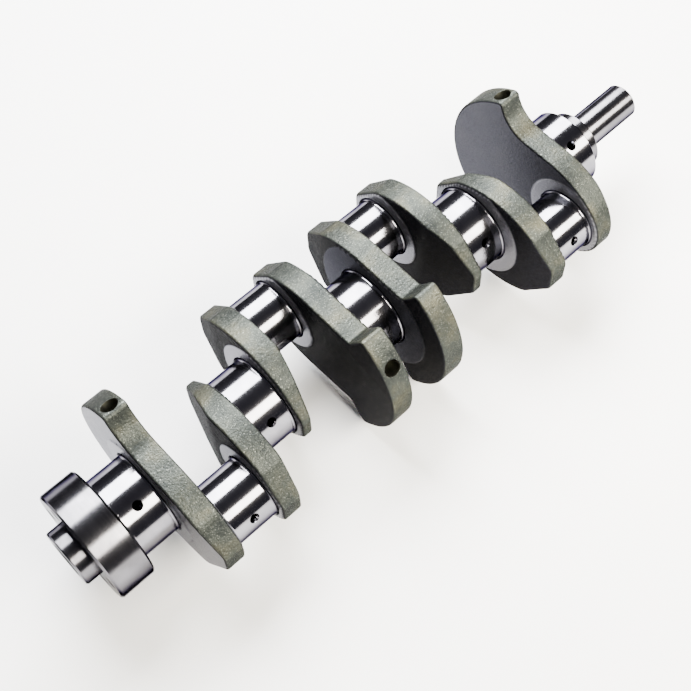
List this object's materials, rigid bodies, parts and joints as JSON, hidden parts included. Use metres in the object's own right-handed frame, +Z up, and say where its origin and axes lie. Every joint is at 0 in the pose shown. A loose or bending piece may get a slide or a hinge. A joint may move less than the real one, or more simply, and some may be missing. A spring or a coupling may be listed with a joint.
{
  "type": "crankshaft",
  "caption": "Forged flat-plane crankshaft for an inline engine, with ground journals, counterweighted webs, a rear flange and a plain nose.",
  "frame": {"origin": "centre of the rear flange's rear face, on the main axis", "axes": "+X along the main axis from the rear flange to the nose, +Z up, with the throws in the XY plane"},
  "size_m": [0.6074, 0.169, 0.145],
  "materials": {
    "ground_steel": "fine ground and polished",
    "forged_steel": "as forged and shot blasted"
  },
  "bodies": {
    "root": {"rear_spigot": "ground_steel", "rear_flange": "ground_steel", "main_journal_1": "ground_steel", "main_journal_2": "ground_steel", "main_journal_3": "ground_steel", "main_journal_4": "ground_steel", "main_journal_5": "ground_steel", "crankpin_1": "ground_steel", "crankpin_2": "ground_steel", "crankpin_3": "ground_steel", "crankpin_4": "ground_steel", "nose_collar": "ground_steel", "nose_shaft": "ground_steel", "web_1": "forged_steel", "web_2": "forged_steel", "web_3": "forged_steel", "web_4": "forged_steel", "web_5": "forged_steel", "web_6": "forged_steel", "web_7": "forged_steel", "web_8": "forged_steel", "counterweight_1": "forged_steel", "counterweight_4": "forged_steel", "counterweight_5": "forged_steel", "counterweight_8": "forged_steel"}
  },
  "joints": []
}
